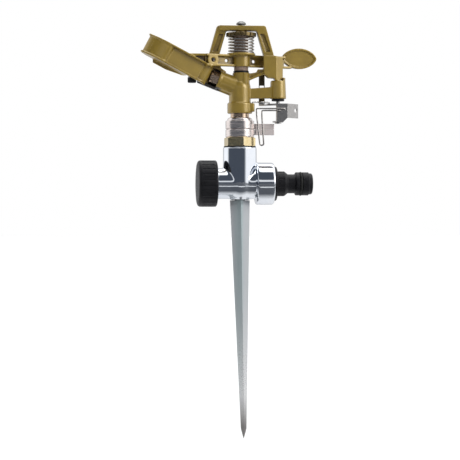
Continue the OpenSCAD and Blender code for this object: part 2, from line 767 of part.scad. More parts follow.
// Shallow pockets that make the legs look like channels
module leg_pockets() {
    rear = leg_depth - leg_past;
    d = 1.8;
    z0 = arm_top + 2.2;
    z1 = bar_z - 2.4;
    inset = 2;
    ti = bridge_top - leg_top_w;
    fi = bridge_foot - leg_foot_w;
    pocket = [
        [fi + 1.5, z0], [bridge_foot - inset - 0.8, z0], [bridge_top - inset + 0.4, z1], [ti + 2.2, z1]];
    translate([pivot_x, 0, 0]) {
        upright(-leg_past - 1, -leg_past + d) mirror([1, 0]) polygon(pocket);
        upright(-rear - 1, -rear + d) polygon(pocket);
        upright(rear - d, rear + 1) mirror([1, 0]) polygon(pocket);
        upright(leg_past - d, leg_past + 1) polygon(pocket);
    }
}

module nozzle() {
    l = nozzle_len;
    color(brass) along_barrel() difference() {
        union() {
            rod_x(1.2 - barrel_len, 7.6 - barrel_len, nozzle_thread_d);
            rod_x(-barrel_len, 2 - barrel_len, nozzle_thread_d);
            translate([-barrel_len - l + 1.2, 0, 0]) rotate([0, 90, 0]) rotate([0, 0, 12])
                cylinder(h = l - 1.2, d = nozzle_af / cos(30), $fn = 6);
            rod_x(-barrel_len - l, 1.4 - barrel_len - l, nozzle_af - 1);
        }
        rod_x(-barrel_len - l - 1, 0, jet_d);
        rod_x(1 - barrel_len - l / 2, 9 - barrel_len, jet_d + 2.4);
    }
}

module jet_screw_pin() {
    color(steel) translate([-screw_x, 0, tongue_z - tongue_t - 2]) {
        cylinder(h = tongue_t + 2.6, d = jet_pin_d);
        translate([0, 0, tongue_t + 2.6]) cylinder(h = 0.9, d1 = jet_pin_d, d2 = jet_pin_d - 1.2);
    }
}

module jet_screw_knob() {
    z1 = tongue_z - tongue_t - gap;
    color(black) translate([-screw_x, 0, z1 - knob_h]) difference() {
        rotate_extrude() polygon([
            [0, 0], [knob_d / 2 - 0.5, 0], [knob_d / 2, 0.5], [knob_d / 2, knob_h - 0.5],
            [knob_d / 2 - 0.5, knob_h], [0, knob_h]]);
        translate([0, 0, knob_h - 1.7]) cylinder(h = 3, d = jet_pin_d + 2 * fit);
        for (a = [0:40:320]) rotate([0, 0, a]) translate([knob_d / 2 + 0.25, 0, 0.6])
            cylinder(h = knob_h, d = 1);
        translate([-knob_d, -0.4, -1]) cube([2 * knob_d, 0.8, 1.8]);
    }
}

module pivot_pin() {
    r = pin_head_d / 2;
    h = pin_head_h;
    rim = 1.5;
    neck = 2.7;
    crown = h - rim;
    crown_r = (r * r + crown * crown) / (2 * crown);
    spread = acos(r / crown_r);
    color(steel) translate([pivot_x, 0, 0]) difference() {
        union() {
            translate([0, 0, post_top - 6.4]) cylinder(h = bridge_z - post_top + 6.6, d = pin_d);
            translate([0, 0, bridge_z]) rotate_extrude() polygon(concat(
                [[0, 0], [neck, 0], [neck, 0.7], [r - 0.2, rim - 0.5]],
                arc(0, h - crown_r, crown_r, spread, 90, 8)));
        }
        for (a = [35, 125]) rotate([0, 0, a]) translate([0, 0, bridge_z + h])
            cube([4.2, 1, 3.4], center = true);
    }
}

module pivot_washer() {
    color(black) translate([pivot_x, 0, 0])
        ring(post_top, post_top + pivot_washer_t, bush_d + 1, pin_d + 2 * fit);
}

module arm_bush() {
    color([0.5, 0.38, 0.3]) translate([pivot_x, 0, 0]) ring(bush_z, plate_z - gap, bush_d, pin_d + 2 * fit);
}

module spring_plate() {
    r = plate_d / 2;
    hub = 4.4;
    color([0.45, 0.33, 0.26]) translate([pivot_x, 0, plate_z]) difference() {
        rotate_extrude() polygon([
            [pin_d / 2 + fit, 0], [hub, 0], [hub, 0.6], [r - 1.4, 0.6], [r - 1.2, -0.7], [r, -0.7],
            [r, 1.7], [r - 0.3, 2], [hub, 2], [hub, 2.8], [pin_d / 2 + fit, 2.8]]);
        for (a = [0:20:340]) rotate([0, 0, a]) translate([r - 0.1, 0, -1]) cylinder(h = 4, d = 1.4);
        rotate([0, 0, spring_hole_turn]) translate([(arm_spring_d - arm_wire) / 2, 0, -1])
            cylinder(h = 4, d = arm_wire + 0.5);
    }
}

// Left-hand torsion spring between the arm's seat and the upper plate
module arm_spring() {
    r = (arm_spring_d - arm_wire) / 2;
    z0 = seat_z + arm_wire / 2 + eps;
    z1 = plate_z - 0.7 - arm_wire / 2 - 0.2;
    n = arm_turns * 20;
    coil = [for (i = [0:n]) let(a = -8 + 360 * arm_turns - 360 * i / 20)
        [r * cos(a), r * sin(a), z0 + (z1 - z0) * i / n]];
    t = spring_hole_turn;
    hook = [[r * cos(t + 0.4), r * sin(t + 0.4), z1 + 0.7], [r * cos(t), r * sin(t), z1 + 2.6]];
    color(steel) translate([pivot_x, 0, 0]) wire(concat(coil, hook), arm_wire, 8);
}

// A straight stretch of the arm's beam along X, two flanges with the web at the back
module beam(x0, x1) {
    translate([x0, -arm_w / 2, arm_z]) cube([x1 - x0, arm_w, flange_t]);
    translate([x0, -arm_w / 2, arm_top - flange_t]) cube([x1 - x0, arm_w, flange_t]);
    translate([x0, arm_w / 2 - web_t, arm_z]) cube([x1 - x0, web_t, arm_h]);
}

module impact_arm() {
    color(bronze) difference() {
        union() {
            along_arm() arm_beams();
            spoon();
            spoon_root();
        }
        translate([pivot_x, 0, arm_z - 1]) cylinder(h = 30, d = bush_d);
        along_arm() translate([eye_x, -9, arm_z + arm_h / 2]) rotate([-90, 0, 0]) cylinder(h = 18, d = 3.1);
        for (x = [-11.6, 10.6]) along_arm() translate([x, -9, arm_z + arm_h / 2])
            rotate([-90, 0, 0]) cylinder(h = 18, d = 2.4);
    }
}

module arm_beams() {
    beam(-29, -4);
    beam(4, weight_r - weight_len / 2 + 1.6);
    translate([4, -arm_w / 2, arm_z]) cube([weight_r - 11, arm_w, flange_t]);
    translate([0, 0, arm_z]) cylinder(h = arm_h + 1, d = hub_d);
    translate([0, 0, arm_top - 0.6]) cylinder(h = seat_z - arm_top + 0.6, d = seat_d);
    translate([eye_x, -arm_w / 2, arm_z + arm_h / 2]) rotate([-90, 0, 0])
        cylinder(h = arm_w, d = arm_h - 0.2);
    counterweight();
}

module counterweight() {
    a = weight_len / 2;
    b = weight_h / 2;
    zc = arm_top - 1.1;
    translate([weight_r, 0, zc]) rotate([0, 0, -weight_turn]) difference() {
        upright(-1.7, 1.7) polygon(leaf(a, b));
        upright(-3, -0.7) polygon(leaf(a - 1.6, b - 1.6));
        upright(0.7, 3) polygon(leaf(a - 1.6, b - 1.6));
    }
}

// The tail of the beam that carries the deflector, parallel to the jet
module spoon_root() {
    w = arm_w;
    y = spoon_y - 2.6;
    translate([-39.4, y, arm_top - flange_t]) cube([15.4, w, flange_t]);
    upright(y + w - web_t, y + w) polygon([
        [-22, arm_z + 0.3], [-22, arm_top - 0.3], [-38.4, arm_top - 0.3], [-28, arm_z + 2]]);
    translate([-24.6, y + 0.6, arm_z]) cube([2.4, w - 0.6, arm_h]);
}

module spoon() {
    l = spoon_len;
    h = spoon_h / 2;
    t = spoon_wall;
    front = spoon_y - 3;
    back = front + spoon_depth + 4;
    vane_x = 15 - l;
    vane_r = 19.6;
    roll = 4;
    lean = 1.8;
    lip_r = 10;
    lip_turn = 46;
    mid = front + vane_r + 0.2;
    mid_roll = front + roll + 0.2;
    along_spoon() {
        for (s = [-1, 1]) translate([0, 0, s * (h - t / 2) - t / 2]) linear_extrude(t) union() {
            polygon(concat(
                [[s > 0 ? 2.4 : 0.4, front], [s > 0 ? 3.6 : 2.6, front + arm_w]],
                s > 0 ? [[-4, front + arm_w], [-5, back]] : [[-10.4, front + arm_w - 1], [-12, back]],
                [[2 - l, back], [-l - 1.6, back - 3.5]],
                arc(vane_x, front + vane_r, vane_r + 0.4, 221, 262, 6)));
            polygon([
                [-l + 0.6, back - 6], [-l - 2.4, back - 6.6], [-l - 1.4, back - 9.6], [-l + 1.6, back - 9]]);
        }
        upright(back - 1.2, back) polygon([
            [8.5 - l, 0.4 - h], [9.8 - l, -h - 2.4], [-26, -h - 2.4], [-13, -h - 0.4], [-13, 0.6 - h]]);
        translate([vane_x + 2.6, 0, 0]) rotate([90, 0, 90]) linear_extrude(-vane_x - 5.4) polygon([
            [spoon_y - lean, -h], [spoon_y + t, -h], [spoon_y + t, h], [spoon_y, h]]);
        translate([0, 0, -h + 0.1]) linear_extrude(spoon_h - 0.2) {
            polygon(concat(
                arc(vane_x, mid, vane_r, 214, 270, 18), arc(vane_x, mid_roll, roll, 270, 345, 8),
                arc(vane_x, mid_roll, roll - t, 345, 270, 8), arc(vane_x, mid, vane_r - t, 270, 214, 18)));
            polygon(concat(
                arc(-3, spoon_y + lip_r, lip_r, -90, lip_turn - 90, 10),
                arc(-3, spoon_y + lip_r, lip_r - t, lip_turn - 90, -90, 10)));
        }
    }
}

module trip_pin() {
    color(steel) translate([trip_x, 0, 0]) {
        translate([0, 0, lever_foot - 1]) cylinder(h = boss_top - lever_foot + 1.2, d = trip_pin_d);
        translate([0, 0, boss_top]) cylinder(h = 1.4, d = 6.2);
        translate([0, 0, lever_foot - 1]) cylinder(h = 1, d = 5);
    }
}

module trip_washer() {
    color(black) translate([trip_x, 0, 0])
        ring(washer_z, boss_z, trip_washer_d, trip_pin_d + 2 * fit);
}

// Bent sheet bracket with the trip finger
module trip_lever() {
    t = sheet_t;
    bore = trip_pin_d + 2 * fit;
    wall_x0 = trip_x - 1.5;
    wall_x1 = trip_x + 6.3;
    corner = 3.2;
    wall_y = -wire_y + trip_wire_d / 2 + gap;
    finger_y = 9.6;
    wing_turn = 42;
    wing_len = 12.4;
    wing_foot = lever_foot + corner;
    color(steel) difference() {
        union() {
            translate([0, 0, lever_top - t]) linear_extrude(t) polygon(concat(
                [[wall_x1, wall_y], [trip_x + 12, wall_y + 5.6]],
                arc(trip_x, 0, 5.4, 40, 100, 6),
                [[20.2, finger_y + 1.1], [15.6, finger_y + 1.1], [15.6, finger_y - 1.4], [19, 4]],
                arc(hook_x, hook_y, 2, 150, 250, 5),
                [[wall_x0, wall_y]]));
            upright(wall_y, wall_y + t) polygon([
                [wall_x0, lever_foot], [wall_x1 - corner, lever_foot], [wall_x1, wing_foot],
                [wall_x1, lever_top], [wall_x0, lever_top]]);
            translate([0, 0, lever_foot]) linear_extrude(t) polygon(concat(
                arc(trip_x, 0, 4.1, 10, 200, 14), [[wall_x0, wall_y], [trip_x + 2.8, wall_y]]));
            translate([wall_x1 - 0.3, wall_y + t / 2, wing_foot]) rotate([0, 0, wing_turn])
                translate([0, -t / 2, 0]) cube([wing_len, t, bracket_h - corner]);
            translate([15.6, finger_y, lever_top - t]) cube([4.4, 1.1, arm_z - 1.3 - lever_top + t]);
            translate([15.6, finger_y - 1.2, arm_z - 8]) cube([1.1, 2.2, 6.7]);
        }
        translate([trip_x, 0, lever_foot - 1]) cylinder(h = bracket_h + 2, d = bore);
        translate([hook_x, hook_y, lever_top - 3]) cylinder(h = 5, d = trip_wire_d + 0.5);
        translate([hinge_x, 0, wire_z]) rotate([90, 0, 0]) cylinder(h = 20, d = trip_wire_d + 2 * fit);
        translate([wall_x1 - 0.3, wall_y + t / 2, wing_foot + 5.8]) rotate([0, 0, wing_turn])
            translate([wing_len - 2.9, 3, 0]) rotate([90, 0, 0]) cylinder(h = 6, d = 3);
        translate([15.6 + 0.5, finger_y - 2, boss_z + 8.6]) cube([3.4, 6, 2]);
    }
}

// Over-centre spring between the body's ear and the lever
module trip_snap_spring() {
    span = [hook_x - lug_x, hook_y - lug_y];
    len_s = norm(span);
    turn = atan2(span[1], span[0]);
    bow = concat(
        [[0, 0, -3.2], [0, 0, -0.8]],
        [[0.25, 0, -0.2], [0.8, 0, 0]],
        [[2.2, 0, 0], [3.4, -0.4, 0]],
        [for (i = [0:10]) let(a = 230 - 28 * i) [len_s / 2 + 2.2 * cos(a), -1.2 - 2.2 * sin(a), 0]],
        [[len_s - 3.4, -0.4, 0], [len_s - 2.2, 0, 0], [len_s - 0.8, 0, 0], [len_s - 0.25, 0, -0.2]],
        [[len_s, 0, -0.8], [len_s, 0, -1.8]]);
    color(steel) translate([lug_x, lug_y, snap_z]) rotate([0, 0, turn]) wire(bow, trip_wire_d, 8);
}

// Hairpin wire that hangs beside the stop collars and can be flipped up
module trip_wire() {
    z = wire_z;
    d = trip_wire_d;
    y = -wire_y;
    half = 1.5;
    lean = 1.6;
    low = z - loop_len + half + 0.6;
    x0 = loop_x - half;
    x1 = loop_x + half;
    lower_z = z - d - 0.15;
    way = concat(
        [[hinge_x, y + 3, z], [hinge_x, y + 1, z], [hinge_x - 0.3, y + 0.3, z], [hinge_x - 1, y, z]],
        [[x0, y, z]], [[x0 - 0.8, y, z - 0.3], [x0 - 1.2, y, z - 1]],
        [for (i = [0:10]) let(a = 180 + 18 * i) [loop_x + lean + half * cos(a), y, low + half * sin(a)]],
        [[x1 - 0.1, y, lower_z - 1], [x1 + 0.3, y, lower_z - 0.3], [x1 + 1, y, lower_z]],
        [[hinge_x - 2.4, y, lower_z]]);
    color(steel) wire(way, d, 8);
}

spike();
tee();
end_cap_washer();
end_cap();
hose_plug();
plug_seal();
plug_o_ring();
hex_bushing();
bushing_gasket();
bearing_sleeve();
bearing_spring();
thrust_bush();
upper_stop_collar();
lower_stop_collar();
inlet_stem();
stem_seal();
stem_washer();
sprinkler_body();
nozzle();
jet_screw_pin();
jet_screw_knob();
pivot_pin();
pivot_washer();
spring_plate();
arm_spring();
impact_arm();
arm_bush();
trip_pin();
trip_washer();
trip_lever();
trip_snap_spring();
trip_wire();
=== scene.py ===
"""Looks of the spike sprinkler around its CAD frame, in metres."""
import bpy
import bmesh
import json
import math
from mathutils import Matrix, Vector
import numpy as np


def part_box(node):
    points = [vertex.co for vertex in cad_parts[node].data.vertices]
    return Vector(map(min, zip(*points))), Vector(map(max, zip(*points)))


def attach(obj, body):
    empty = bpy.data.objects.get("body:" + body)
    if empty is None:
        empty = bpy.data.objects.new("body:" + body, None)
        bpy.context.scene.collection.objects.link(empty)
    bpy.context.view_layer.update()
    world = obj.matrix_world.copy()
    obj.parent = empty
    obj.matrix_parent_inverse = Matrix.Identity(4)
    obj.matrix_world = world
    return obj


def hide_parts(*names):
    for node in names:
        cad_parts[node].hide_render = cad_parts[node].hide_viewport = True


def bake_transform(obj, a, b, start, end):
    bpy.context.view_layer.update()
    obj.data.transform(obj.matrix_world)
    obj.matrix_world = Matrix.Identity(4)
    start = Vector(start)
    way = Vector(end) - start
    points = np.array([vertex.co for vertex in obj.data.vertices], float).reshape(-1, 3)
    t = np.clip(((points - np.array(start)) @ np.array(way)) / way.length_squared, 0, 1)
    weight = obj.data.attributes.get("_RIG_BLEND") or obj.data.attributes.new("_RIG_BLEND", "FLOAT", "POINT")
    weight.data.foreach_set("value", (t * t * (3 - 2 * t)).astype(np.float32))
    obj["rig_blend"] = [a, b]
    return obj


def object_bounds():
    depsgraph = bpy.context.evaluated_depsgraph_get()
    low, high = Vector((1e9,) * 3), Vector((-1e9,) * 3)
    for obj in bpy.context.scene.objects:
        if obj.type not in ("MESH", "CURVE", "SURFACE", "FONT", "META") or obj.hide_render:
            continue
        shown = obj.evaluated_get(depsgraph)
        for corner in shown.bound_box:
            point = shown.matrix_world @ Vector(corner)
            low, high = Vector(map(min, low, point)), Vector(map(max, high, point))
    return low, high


MM = 0.001

# Camera: level, a little to the left of the front, aimed a little to the left of the origin and below it
VIEW_AZIMUTH = -6.5
VIEW_DISTANCE = 1.4
VIEW_HEIGHT = 0.3427
AIM_RIGHT = -0.0073
AIM_UP = -0.0201
SENSOR = 36.0

# The room around the part: its light, and the dark area before it with a light strip; angles in degrees
ROOM = 1.1
DARK = (0.068, 0.080, 0.102)
DARK_LEFT = 24.0
DARK_REACH = 62.0
DARK_SOFT = 9.0
DARK_TOP = 0.962
DARK_TOP_SOFT = 0.02
STRIP = 0.75
STRIP_LEVEL = 0.24
STRIP_HALF = (0.05, 0.11)
BACK_REACH = 52.0
BACK_GREY = 0.62

# The floor: its half width, and how dark metals mirror it at places before (-Y) and behind the part
FLOOR_SIDE = 40.0
FLOOR_DARK = (0.05, 0.055, 0.065)
FLOOR_REACH = 1.0
FLOOR_STOPS = ((-0.66, 1.0), (-0.60, 0.3), (-0.47, 0.3), (-0.43, 1.0), (-0.12, 1.0), (0.0, 0.3),
               (0.15, 0.3), (0.5, 0.5))

# Lights from far away: name, direction towards it, strength, spread in degrees, whether metals mirror it
SUNS = (
    ("front", (-0.2, -1.0, 0.9), 0.9, 40.0, False),
    ("side", (1.0, -0.7, 0.5), 1.1, 36.0, True),
    ("top", (0.15, 0.1, 1.0), 1.0, 60.0, True),
)

# The jet's line in the body: its slope, and its height at the water axis in millimetres
BARREL_SLOPE = 20.5
BARREL_Z = 85.5

# Painted shade on the tongue under the barrel: near black between two places, given ahead along the jet and
# above its axis in millimetres
TONGUE_SHADE = ((12.0, -5.2), (15.0, -6.0))

# Where looks change along an axis: start and end of the change
# Painted light on the spike's faces: the right face a lit grey, the left part lighter
SPIKE_RIGHT_LIT = (0.5 * MM, 3.0 * MM)
SPIKE_LEFT_LIT = (-1.5 * MM, -7.0 * MM)
# The spike turns lighter and smoother towards the bottom
SPIKE_LOWER = (-60.0 * MM, -165.0 * MM)
SPIKE_TIP = (-143.0 * MM, -166.0 * MM)
EARS = (11.5 * MM, 12.5 * MM)
# Painted shade: the trip lever darker above this height, where its finger lies in shade
FINGER_SHADE = (76.0 * MM, 77.0 * MM)

# Rounding of castings, as grid size and rounds: the bronze pieces, the tee, and the sheet pieces
CAST_GRID = (0.26 * MM, 11)
TEE_GRID = (0.48 * MM, 9)
SHEET_GRID = (0.13 * MM, 3)
SOFTEN = 0.5

# Softer rounding where the tee's pipes meet
CROSSING_Z = 14.4 * MM
CROSSING_INNER = 17.0 * MM
CROSSING_OUTER = 20.0 * MM
CROSSING_ROUNDS = 24

# Easing of sharp edges, and the triangles of a wire that are joined first; angles in degrees
EASE_STEPS = 2
EASE_ANGLE = 32.0
FLAT_ANGLE = 0.6
WIRE_FACE_ANGLE = 40.0
WIRE_SHAPE_ANGLE = 60.0

# How far the arm's spring stays with the arm at its foot, and with the head at its top
SPRING_FOOT = 1.2 * MM
SPRING_TOP = 2.4 * MM

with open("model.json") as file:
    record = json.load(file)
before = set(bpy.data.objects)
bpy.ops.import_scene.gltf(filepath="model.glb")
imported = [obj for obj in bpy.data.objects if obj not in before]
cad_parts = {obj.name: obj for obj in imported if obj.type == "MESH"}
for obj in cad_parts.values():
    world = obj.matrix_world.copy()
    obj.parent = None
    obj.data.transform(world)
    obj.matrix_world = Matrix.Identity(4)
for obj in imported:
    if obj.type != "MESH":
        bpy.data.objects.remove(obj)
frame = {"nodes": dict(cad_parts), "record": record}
cad_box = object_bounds()
body_of = {node: body for body, nodes in frame["record"]["behaviour"]["bodies"].items() for node in nodes}


# Small tools for node materials
class Shade:
    """One material and the nodes that feed its shader."""

    def __init__(self, name):
        self.material = bpy.data.materials.new(name)
        self.material.use_nodes = True
        self.tree = self.material.node_tree
        self.tree.nodes.clear()
        self.out = self.tree.nodes.new("ShaderNodeOutputMaterial")
        self.bsdf = self.tree.nodes.new("ShaderNodeBsdfPrincipled")
        self.tree.links.new(self.bsdf.outputs[0], self.out.inputs[0])
        self.place = self.tree.nodes.new("ShaderNodeTexCoord").outputs["Object"]

    def set(self, **values):
        for key, value in values.items():
            self.bsdf.inputs[key.replace("_", " ")].default_value = value
        return self

    def link(self, output, target):
        self.tree.links.new(output, target)

    def stretched(self, x, y, z):
        node = self.tree.nodes.new("ShaderNodeMapping")
        node.inputs["Scale"].default_value = (x, y, z)
        self.link(self.place, node.inputs["Vector"])
        return node.outputs[0]

    def noise(self, per_metre, detail=4.0, rough=0.55, vector=None):
        node = self.tree.nodes.new("ShaderNodeTexNoise")
        node.inputs["Scale"].default_value = per_metre
        node.inputs["Detail"].default_value = detail
        node.inputs["Roughness"].default_value = rough
        self.link(vector or self.place, node.inputs["Vector"])
        return node.outputs["Fac"]

    def cells(self, per_metre):
        node = self.tree.nodes.new("ShaderNodeTexVoronoi")
        node.inputs["Scale"].default_value = per_metre
        self.link(self.place, node.inputs["Vector"])
        return node.outputs["Distance"]

    def ramp(self, value, *stops):
        node = self.tree.nodes.new("ShaderNodeValToRGB")
        self.link(value, node.inputs[0])
        points = node.color_ramp.elements
        while len(points) < len(stops):
            points.new(0.5)
        for point, (place, colour) in zip(points, stops):
            point.position = place
            point.color = (*colour, 1.0)
        return node.outputs[0]

    def span(self, value, low, high, from_low=0.35, from_high=0.65):
        """From low to high as the value goes through its own range, which is most of a noise's by default."""
        node = self.tree.nodes.new("ShaderNodeMapRange")
        values = {"From Min": from_low, "From Max": from_high, "To Min": low, "To Max": high}
        for key, number in values.items():
            node.inputs[key].default_value = number
        self.link(value, node.inputs["Value"])
        return node.outputs[0]

    def mixed(self, factor, first, second):
        """The first colour where the factor is 0 and the second where it is 1."""
        node = self.tree.nodes.new("ShaderNodeMix")
        node.data_type = "RGBA"
        colours = [s for s in node.inputs if s.type == "RGBA"]
        for source, target in ((factor, node.inputs[0]), (first, colours[0]), (second, colours[1])):
            if isinstance(source, tuple):
                target.default_value = (*source, 1.0)
            else:
                self.link(source, target)
        return [s for s in node.outputs if s.type == "RGBA"][0]

    def worn(self, low, high):
        """1 on outer edges of a dense mesh, 0 elsewhere."""
        node = self.tree.nodes.new("ShaderNodeNewGeometry")
        return self.span(node.outputs["Pointiness"], 0.0, 1.0, low, high)

    def along(self, direction, start, end):
        """Rises from 0 to 1 from the point start to the point end, measured along a direction."""
        node = self.tree.nodes.new("ShaderNodeVectorMath")
        node.operation = "DOT_PRODUCT"
        self.link(self.place, node.inputs[0])
        node.inputs[1].default_value = direction
        way = Vector(direction)
        return self.span(node.outputs["Value"], 0.0, 1.0, way.dot(Vector(start)), way.dot(Vector(end)))

    def toward(self, axis, places):
        """Rises from 0 to 1 between two places on an axis, 0 for X and 2 for Z."""
        start, end = places
        way = [0.0, 0.0, 0.0]
        way[axis] = 1.0 if end > start else -1.0
        return self.along(way, [abs(w) * start for w in way], [abs(w) * end for w in way])

    def recess_shade(self, reach, closed=0.25, open_air=0.8):
        """1 deep in corners and holes, 0 on open faces: a mask for painted shade."""
        node = self.tree.nodes.new("ShaderNodeAmbientOcclusion")
        node.samples = 8
        node.inputs["Distance"].default_value = reach
        return self.span(node.outputs["AO"], 1.0, 0.0, closed, open_air)

    def times(self, first, second):
        node = self.tree.nodes.new("ShaderNodeMath")
        node.operation = "MULTIPLY"
        self.link(first, node.inputs[0])
        self.link(second, node.inputs[1])
        return node.outputs[0]

    def mirrored_front(self):
        """How dark the floor is to shiny surfaces: dark before the part with a light band, grey behind."""
        split = self.tree.nodes.new("ShaderNodeSeparateXYZ")
        self.link(self.place, split.inputs[0])
        depth = self.span(split.outputs["Y"], 0.0, 1.0, -FLOOR_REACH, FLOOR_REACH)
        stops = [((y / FLOOR_REACH + 1.0) / 2.0, (level, level, level)) for y, level in FLOOR_STOPS]
        glossy = self.tree.nodes.new("ShaderNodeLightPath").outputs["Is Glossy Ray"]
        return self.times(self.ramp(depth, *stops), glossy)

    def bump(self, height, strength, depth, under=None):
        node = self.tree.nodes.new("ShaderNodeBump")
        node.inputs["Strength"].default_value = strength
        node.inputs["Distance"].default_value = depth
        self.link(height, node.inputs["Height"])
        if under is not None:
            self.link(under, node.inputs["Normal"])
        return node.outputs[0]

    def finish(self, colour, roughness, normal):
        self.link(colour, self.bsdf.inputs["Base Color"])
        self.link(roughness, self.bsdf.inputs["Roughness"])
        self.link(normal, self.bsdf.inputs["Normal"])
        return self.material


def barrel_point(ahead, above, from_axis=True):
    """A point ahead along the jet and above its axis, in millimetres; or such a direction."""
    slope = math.radians(BARREL_SLOPE)
    x = -ahead * math.cos(slope) + above * math.sin(slope)
    z = ahead * math.sin(slope) + above * math.cos(slope)
    return (x * MM, 0.0, (z + BARREL_Z) * MM) if from_axis else (x, 0.0, z)


def bronze_paint(name, tongue=False):
    s = Shade(name).set(Metallic=0.45, Coat_Weight=0.6, Coat_Roughness=0.25, Coat_IOR=1.9)
    clouds = s.noise(110.0, 3.0)
    tone = s.ramp(clouds, (0.3, (0.235, 0.152, 0.010)), (0.7, (0.296, 0.194, 0.015)))
    flakes = s.cells(5200.0)
    tone = s.mixed(s.span(flakes, 0.0, 0.16, 0.2, 0.6), tone, (0.45, 0.305, 0.058))
    tone = s.mixed(s.worn(0.54, 0.66), tone, (0.48, 0.35, 0.13))
    # Painted shade: near black-brown deep in corners and hollows
    tone = s.mixed(s.recess_shade(6.0 * MM), tone, (0.060, 0.026, 0.006))
    # Painted shade: the tongue under the barrel near black
    if tongue:
        under, out = barrel_point(*TONGUE_SHADE[0]), barrel_point(*TONGUE_SHADE[1])
        below = s.along(barrel_point(0.0, 1.0, False), under, out)
        ahead = s.along(barrel_point(1.0, 0.0, False), under, out)
        tone = s.mixed(s.times(below, ahead), tone, (0.022, 0.016, 0.011))
    rough = s.span(s.noise(1500.0, 5.0), 0.34, 0.44)
    peel = s.bump(s.noise(900.0, 3.0), 0.10, 0.00010)
    return s.finish(tone, rough, s.bump(s.noise(4200.0, 2.0), 0.08, 0.00003, peel))


def polished_chrome():
    s = Shade("polished_chrome").set(Metallic=1.0)
    tone = s.ramp(s.noise(60.0, 2.0), (0.3, (0.76, 0.80, 0.86)), (0.7, (0.83, 0.86, 0.90)))
    rough = s.span(s.noise(700.0, 6.0), 0.03, 0.07)
    waves = s.bump(s.noise(90.0, 1.0), 0.08, 0.0004)
    return s.finish(tone, rough, s.bump(s.noise(2600.0, 2.0), 0.015, 0.00002, waves))


def dull_zinc():
    s = Shade("dull_zinc").set(Metallic=0.8)
    streak = s.noise(420.0, 4.0, 0.6, s.stretched(1.0, 1.0, 0.06))
    tone = s.ramp(streak, (0.28, (0.38, 0.465, 0.475)), (0.72, (0.465, 0.54, 0.55)))
    tone = s.mixed(s.span(s.noise(900.0, 5.0), 0.0, 0.4), tone, (0.37, 0.43, 0.435))
    rough = s.span(s.noise(1300.0, 5.0), 0.30, 0.44)
    # Painted light: the right face a lit grey, the left part lighter
    tone = s.mixed(s.toward(0, SPIKE_RIGHT_LIT), tone, (0.47, 0.49, 0.505))
    tone = s.mixed(s.toward(0, SPIKE_LEFT_LIT), tone, (0.56, 0.57, 0.59))
    # Lighter and smoother towards the bottom
    toward_bottom = s.toward(2, SPIKE_LOWER)
    tone = s.mixed(toward_bottom, tone, (0.70, 0.70, 0.70))
    rough = s.mixed(toward_bottom, rough, (0.23, 0.23, 0.23))
    tone = s.mixed(s.toward(2, SPIKE_TIP), tone, (0.20, 0.19, 0.185))
    return s.finish(tone, rough, s.bump(s.noise(1700.0, 4.0), 0.10, 0.00006))


def nickel(name, low, high, ears=False):
    s = Shade(name).set(Metallic=1.0)
    tone = s.ramp(s.noise(220.0, 3.0), (0.3, (0.74, 0.67, 0.64)), (0.7, (0.83, 0.76, 0.73)))
    turned = s.noise(900.0, 3.0, 0.5, s.stretched(0.05, 0.05, 2.0))
    rough = s.span(turned, low, high)
    if ears:
        ear = s.toward(0, EARS)
        rough = s.mixed(ear, rough, (0.62, 0.62, 0.62))
        tone = s.mixed(ear, tone, (0.93, 0.85, 0.82))
    return s.finish(tone, rough, s.bump(turned, 0.07, 0.00005))


def brass():
    s = Shade("brass").set(Metallic=1.0)
    tone = s.ramp(s.noise(300.0, 3.0), (0.3, (0.82, 0.66, 0.36)), (0.7, (0.92, 0.77, 0.46)))
    rough = s.span(s.noise(1100.0, 4.0), 0.12, 0.20)
    return s.finish(tone, rough, s.bump(s.noise(1500.0, 3.0), 0.03, 0.00003))


def plated_steel(name="plated_steel", dark=(0.42, 0.41, 0.40), light=(0.58, 0.57, 0.55),
                 rough=(0.18, 0.30), painted_shade_heights=None):
    s = Shade(name).set(Metallic=1.0)
    tone = s.ramp(s.noise(500.0, 4.0), (0.3, dark), (0.7, light))
    # Painted shade: darker above a height, where the part lies in shade
    if painted_shade_heights is not None:
        tone = s.mixed(s.toward(2, painted_shade_heights), tone, (0.10, 0.085, 0.055))
    gloss = s.span(s.noise(1500.0, 4.0), *rough)
    return s.finish(tone, gloss, s.bump(s.noise(2100.0, 3.0), 0.02, 0.00003))


def moulded_black():
    s = Shade("moulded_black").set(Specular_IOR_Level=0.22)
    tone = s.ramp(s.noise(260.0, 3.0), (0.3, (0.004, 0.004, 0.005)), (0.7, (0.009, 0.009, 0.011)))
    rough = s.span(s.noise(900.0, 4.0), 0.34, 0.5)
    return s.finish(tone, rough, s.bump(s.noise(3300.0, 2.0), 0.12, 0.00004))


def black_rubber():
    s = Shade("black_rubber").set(Specular_IOR_Level=0.3)
    tone = s.ramp(s.noise(400.0, 3.0), (0.3, (0.006, 0.006, 0.006)), (0.7, (0.012, 0.012, 0.011)))
    rough = s.span(s.noise(1600.0, 4.0), 0.55, 0.75)
    return s.finish(tone, rough, s.bump(s.noise(2600.0, 3.0), 0.2, 0.00005))


def moulded(name, dark, light):
    s = Shade(name).set(Specular_IOR_Level=0.4)
    tone = s.ramp(s.noise(300.0, 3.0), (0.3, dark), (0.7, light))
    rough = s.span(s.noise(1200.0, 4.0), 0.4, 0.6)
    return s.finish(tone, rough, s.bump(s.noise(2800.0, 2.0), 0.15, 0.00004))


BRONZE = bronze_paint("bronze_paint")
